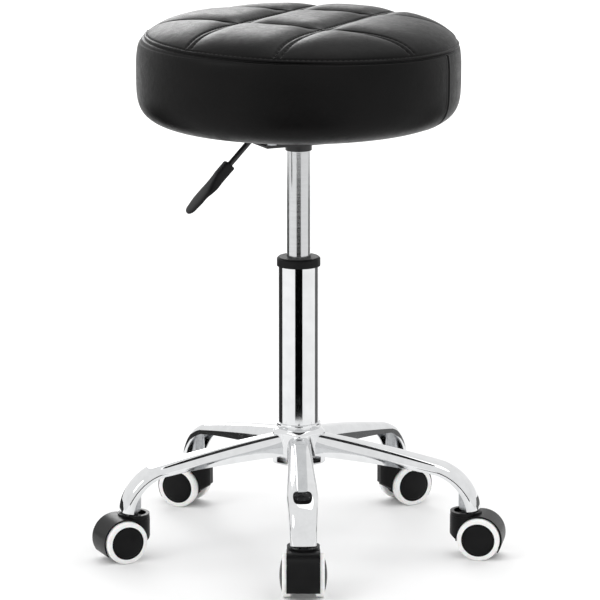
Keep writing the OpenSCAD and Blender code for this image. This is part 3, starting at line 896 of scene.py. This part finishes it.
def legStation(k):
    # ridge of a leg at station k: x, z and slope; stations run along the arm, then round the bend
    if k <= base["armSteps"]:
        centre, radius, share = armCentre, armR, k / base["armSteps"]
        start = math.degrees(math.asin((base["rootX"] - centre[0]) / radius))
        end = base["bendSlope"]
    else:
        centre, radius = bendCentre, base["bendR"]
        share = (k - base["armSteps"]) / base["bendSteps"]
        start, end = base["bendSlope"], base["footSlope"]
    a = math.radians(start + (end - start) * share)
    return centre[0] + radius * math.sin(a), centre[1] + radius * math.cos(a), a


def makeLegs():
    # five open channels of pressed sheet, each with an outer and an inner skin and a round edge
    last = base["armSteps"] + base["bendSteps"]
    turns = [0, base["armSteps"], last]
    arch = base["archSteps"]
    shapes = []
    for stem in stems:
        azimuth = math.atan2(stem[1], stem[0])
        out = Vector((math.cos(azimuth), math.sin(azimuth), 0))
        side = Vector((-math.sin(azimuth), math.cos(azimuth), 0))
        points, rings = [], []
        for j in range(base["pathSteps"] + 1):
            k = last * j / base["pathSteps"]
            x, z, slope = legStation(k)
            width, depth = (sum(np.interp(k + d, turns, base[size]) for d in (-0.8, 0, 0.8)) / 3
                            for size in ("widths", "depths"))
            ring = []
            for skin, steps in ((0, range(arch + 1)), (1, range(arch, -1, -1))):
                thin = base["sheet"] * skin
                for u in steps:
                    a = math.pi * u / arch
                    c, s = math.cos(a), math.sin(a)
                    across = (width / 2 - thin) * math.copysign(abs(c) ** base["squareness"], c)
                    down = -(depth - thin) * (1 - s ** base["squareness"]) - thin
                    p = out * (x + down * math.sin(slope)) + side * across
                    ring.append(len(points))
                    points.append((p + Vector((0, 0, z + down * math.cos(slope)))) * mm)
            rings.append(ring)
        faces = ringFaces(rings)
        n = len(rings[0])
        for end, way in ((rings[0], 1), (rings[-1], -1)):
            faces += [(end[u], end[n - 1 - u], end[n - 2 - u], end[u + 1])[::way]
                      for u in range(n // 2 - 1)]
        shapes.append((points, faces))
    return turnOutwards(meshPiece("pressed_legs", *joined(shapes), chrome, sharp=50))


def makeHub():
    # a casting with five flat cheeks between the legs under a round lip; each outline point is
    # radius, height and how far the round gives way to the pentagon
    low, high, cheekR, lipR = (base[k] for k in ("hubBottom", "hubTop", "cheekR", "lipR"))
    shoulder = arc(cheekR - 6, base["shoulderZ"] - 0.5, 6.1, 0, 62, 11)
    outline = [(base["boreR"], low, 0), (25.2, low, 0.7)]
    outline += [(r, z, 1) for r, z in arc(cheekR - 3, low + 3.2, 3, -80, 0, 8)]
    outline += [(cheekR + 0.1, z, 1) for z in np.linspace(low + 6, base["shoulderZ"] - 2, 6)]
    outline += [(r, z, 1 - (k / 12) ** 1.5) for k, (r, z) in enumerate(shoulder)]
    outline += [(lipR, 142.5, 0)]
    outline += [(r, z, 0) for r, z in arc(lipR - 0.8, high - 0.8, 0.8, 0, 90, 5)]
    outline += [(base["boreR"], high, 0)]
    steps = base["hubSteps"]
    firstCheek = math.atan2(stems[0][1], stems[0][0]) + math.radians(36)
    angle = 2 * np.pi * np.arange(steps) / steps
    turned = (angle - firstCheek + np.pi / 5) % (2 * np.pi / 5) - np.pi / 5
    cornerCut = np.clip(np.abs(turned) / (np.pi / 5) - 0.55, 0, 1)
    facet = 1 / np.cos(turned) * (1 - 0.35 * cornerCut ** 2)
    rings = []
    for r, z, share in outline:
        radius = r * (1 - share + share * facet)
        rings.append(np.stack([radius * np.cos(angle), radius * np.sin(angle), z + 0 * angle], -1))
    numbers = [list(range(k * steps, (k + 1) * steps)) for k in range(len(rings))]
    return turnOutwards(meshPiece("hub_casting", np.concatenate(rings) * mm,
                                  ringFaces(numbers + numbers[:1]), chrome, sharp=50))


finishPiece(makeHub(), "base", "chrome", "hub")
legs = makeLegs()
finishPiece(legs, "base", "chrome", *["leg_" + p for p in places])

# rings of points just inside the ends of each tube's wall keep its reflections straight
columnLow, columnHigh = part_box("outer_column")
cylinderLow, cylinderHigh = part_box("gas_cylinder")
tube = dict(columnR=24, columnWall=2, columnRound=0.6, columnFloor=3, rodHole=5.05,
            cylinderR=14, cylinderWall=1.5, taperR=13.5, pinHole=4.05, capThick=2.5,
            taperFrom=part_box("mount_plate")[0].z / mm, steps=128)
bottom, top, outside = columnLow.z / mm, columnHigh.z / mm, tube["columnR"]
inside, edge = outside - tube["columnWall"], tube["columnRound"]
columnOutline = [
    (tube["rodHole"], bottom), (outside - edge, bottom), (outside, bottom + edge),
    (outside, bottom + 2), (outside, top - 2), *arc(outside - edge, top - edge, edge, 0, 90, 4),
    (inside, top), (inside, bottom + tube["columnFloor"]),
    (tube["rodHole"], bottom + tube["columnFloor"])]
columnShape = lathe(columnOutline, tube["steps"])
finishPiece(turnOutwards(meshPiece("column_tube", *columnShape, chrome, sharp=50)),
            "base", "chrome", "outer_column")
print("base made:", len(legs.data.polygons), "leg faces")

bottom, top, outside = cylinderLow.z / mm, cylinderHigh.z / mm, tube["cylinderR"]
inside = outside - tube["cylinderWall"]
cylinderOutline = [
    (inside, bottom), (outside - 0.5, bottom), (outside, bottom + 0.5), (outside, bottom + 2),
    (outside, tube["taperFrom"] - 1.5), (outside, tube["taperFrom"]), (tube["taperR"], top),
    (tube["pinHole"], top), (tube["pinHole"], top - tube["capThick"]),
    (inside, top - tube["capThick"])]
cylinderShape = lathe(cylinderOutline, tube["steps"])
finishPiece(turnOutwards(meshPiece("lift_cylinder", *cylinderShape, rodSteel, sharp=50)),
            "seat", "chrome", "gas_cylinder")


# castor wheels

wheel = dict(
    inner=13.5, outer=24,          # where a wheel starts and ends along its axle
    coreR=19.5, rimT=2, dome=3.0, hubR=6, axleR=3.05, web=2.5, cap=1.6,
    grooveR=17.1, grooveDepth=0.55, grooveWidth=0.35,
    radius=25, corner=2.2, steps=96)


def wheelShapes(place, side):
    # core and tyre outlines run along the axle, outwards from the castor's middle
    spin = joints["wheel_spin_%s_%s" % (place, side)]
    middle, axis = Vector(spin["pos_m"]), Vector(spin["axis"])
    low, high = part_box("tyre_%s_%s" % (place, side))
    if ((low + high) / 2 - middle).dot(axis) < 0:
        axis = -axis
    matrix = Matrix.Translation(middle) @ axis.to_track_quat("Z", "Y").to_matrix().to_4x4()
    inner, outer, coreR, dome = (wheel[k] for k in ("inner", "outer", "coreR", "dome"))
    rimR, web = coreR - wheel["rimT"], outer - wheel["web"]
    hubR, axleR = wheel["hubR"], wheel["axleR"]
    domeR = (coreR ** 2 + dome ** 2) / (2 * dome)
    face = []
    for r in (0, 1.5, 3.5, 6, 8.5, 11, 13, 15, 16.2, 16.8, 17.1, 17.5, 18.0, 18.6, 19.1, 19.4):
        drop = domeR - math.sqrt(domeR ** 2 - r ** 2)
        fromGroove = (r - wheel["grooveR"]) / wheel["grooveWidth"]
        groove = wheel["grooveDepth"] * math.exp(-fromGroove ** 2)
        face.append((r, outer + dome - drop - groove))
    core = face + [
        (coreR, outer - 0.3), (coreR, inner + 0.4), (coreR - 0.4, inner), (rimR, inner),
        (rimR, web), (hubR, web), (hubR, inner), (axleR, inner),
        (axleR, outer - wheel["cap"]), (0, outer - wheel["cap"])]
    c = wheel["corner"]
    tread = arc(wheel["radius"] - c, inner + c, c, -90, 0, 7)
    tread += arc(wheel["radius"] - c, outer - c, c, 0, 90, 7)
    tyre = [(coreR + 0.02, inner)] + tread + [(coreR + 0.02, outer)]
    return lathe(core, wheel["steps"], matrix), lathe(tyre, wheel["steps"], matrix)


for place in places:
    for side in ("a", "b"):
        name = "%s_%s" % (place, side)
        core, tread = wheelShapes(place, side)
        corePiece = turnOutwards(meshPiece("core_" + name, *core, castorNylon, sharp=35))
        treadPiece = turnOutwards(meshPiece("tread_" + name, *tread, tyreWhite, sharp=50))
        finishPiece(corePiece, "wheel_" + name, "castor_plastic", "wheel_" + name)
        finishPiece(treadPiece, "wheel_" + name, "white_tyre", "tyre_" + name)
print("wheels made")


# the lever's grip

lever = dict(bendX=52, bendR=15, bend=45, start=35, length=75, tipAt=66, tipLength=9, steps=56,
             ribs=8, ribFirst=3.2, ribPitch=2.25, ribLength=10.5, ribThick=1.3, ribHeight=6.25)
pivot = Vector(joints["lever_lift"]["pos_m"]) / mm
leverTurn = math.atan2(pivot.y, pivot.x)
upright = Vector((0, 0, 1))
outward = Vector((math.cos(leverTurn), math.sin(leverTurn), 0))
across = Vector((-math.sin(leverTurn), math.cos(leverTurn), 0))
slope = math.radians(lever["bend"])
downSlope = outward * math.cos(slope) - upright * math.sin(slope)
offSlope = outward * math.sin(slope) + upright * math.cos(slope)
bendEnd = (outward * (lever["bendX"] + lever["bendR"] * math.sin(slope))
           + upright * (pivot.z - lever["bendR"] * (1 - math.cos(slope))))
gripTurn = Matrix((downSlope, across, offSlope)).transposed().to_4x4()
gripMatrix = Matrix.Translation((bendEnd + downSlope * lever["start"]) * mm) @ gripTurn


def makeGrip():
    # a square socket round the rod that flares into a thin paddle with a round tip; each list
    # pairs places along the grip with half its width, its top and its underside there
    where = np.concatenate([np.linspace(0, 1.2, 5), np.linspace(2, 66, 60),
                            np.linspace(66.5, 74.9, 16)])
    width = np.interp(where, [0, 1.2, 22, 30, 42, 56, 66], [5.6, 6.4, 6.5, 8.4, 12.6, 13, 11.2])
    high = np.interp(where, [0, 1.2, 18, 30, 42, 60, 72, 75],
                     [5.6, 6.4, 6.2, 4.9, 3.6, 3.0, 2.3, 1.3])
    low = np.interp(where, [0, 1.2, 32, 40, 48, 60, 72, 75],
                    [-5.6, -6.4, -6.3, -3.9, -1.6, -1.7, -1.5, -0.8])
    tip = where > lever["tipAt"]
    past = (where[tip] - lever["tipAt"]) / lever["tipLength"]
    width[tip] = width[~tip][-1] * np.sqrt(np.maximum(1 - past ** 2, 0.001))
    for row in (width, high, low):
        row[6:60] = np.convolve(row, np.ones(5) / 5, "same")[6:60]
    squareness = np.interp(where, [0, 25, 45, 75], [5, 4.5, 3, 2.6])
    steps = lever["steps"]
    angle = 2 * np.pi * np.arange(steps) / steps
    c, s = np.cos(angle), np.sin(angle)
    points, rings = [], []
    for x, w, t, b, n in zip(where, width, high, low, squareness):
        y = w * np.sign(c) * np.abs(c) ** (2 / n)
        z = (t + b) / 2 + (t - b) / 2 * np.sign(s) * np.abs(s) ** (2 / n)
        rings.append(list(range(len(points), len(points) + steps)))
        points += [gripMatrix @ (Vector((x, float(v), float(u))) * mm) for v, u in zip(y, z)]
    ends = len(points)
    points += [gripMatrix @ Vector(), gripMatrix @ (Vector((lever["length"], 0, 0.3)) * mm)]
    faces = ringFaces(rings)
    for k in range(steps):
        faces.append((rings[0][(k + 1) % steps], rings[0][k], ends))
        faces.append((rings[-1][k], rings[-1][(k + 1) % steps], ends + 1))
    return turnOutwards(meshPiece("grip_paddle", points, faces, grip, sharp=55))


def ribGroup():
    group, ids, given, out = newGroup("ribRow", [
        ("Count", "NodeSocketInt", 8), ("Pitch", "NodeSocketFloat", 0.002),
        ("Length", "NodeSocketFloat", 0.01), ("Thickness", "NodeSocketFloat", 0.001),
        ("Plastic", "NodeSocketMaterial", None)])
    step = addNode(group, "ShaderNodeCombineXYZ", {0: given.outputs["Pitch"]})
    row = addNode(group, "GeometryNodeMeshLine",
                  {"Count": given.outputs["Count"], "Offset": step.outputs[0]})
    scatterBeads(group, given, out, row.outputs[0], 12, 7,
                 ("Thickness", "Length", "Thickness"), "Plastic")
    return group, ids


finishPiece(makeGrip(), "lever", "grip_plastic", "lever_grip")
ribStart = bpy.data.meshes.new("ribStart")
ribStart.from_pydata([(0, 0, 0)], [], [])
ribTree, ribIds = ribGroup()
ribs = runGroup("grip_ribs", ribStart, ribTree, ribIds, {
    "Count": lever["ribs"], "Pitch": lever["ribPitch"] * mm, "Length": lever["ribLength"] * mm,
    "Thickness": lever["ribThick"] * mm, "Plastic": grip})
ribPlace = Vector((lever["ribFirst"], 0, lever["ribHeight"])) * mm
ribs.data.transform(gripMatrix @ Matrix.Translation(ribPlace))
finishPiece(ribs, "lever", "grip_plastic")
print("lever made")
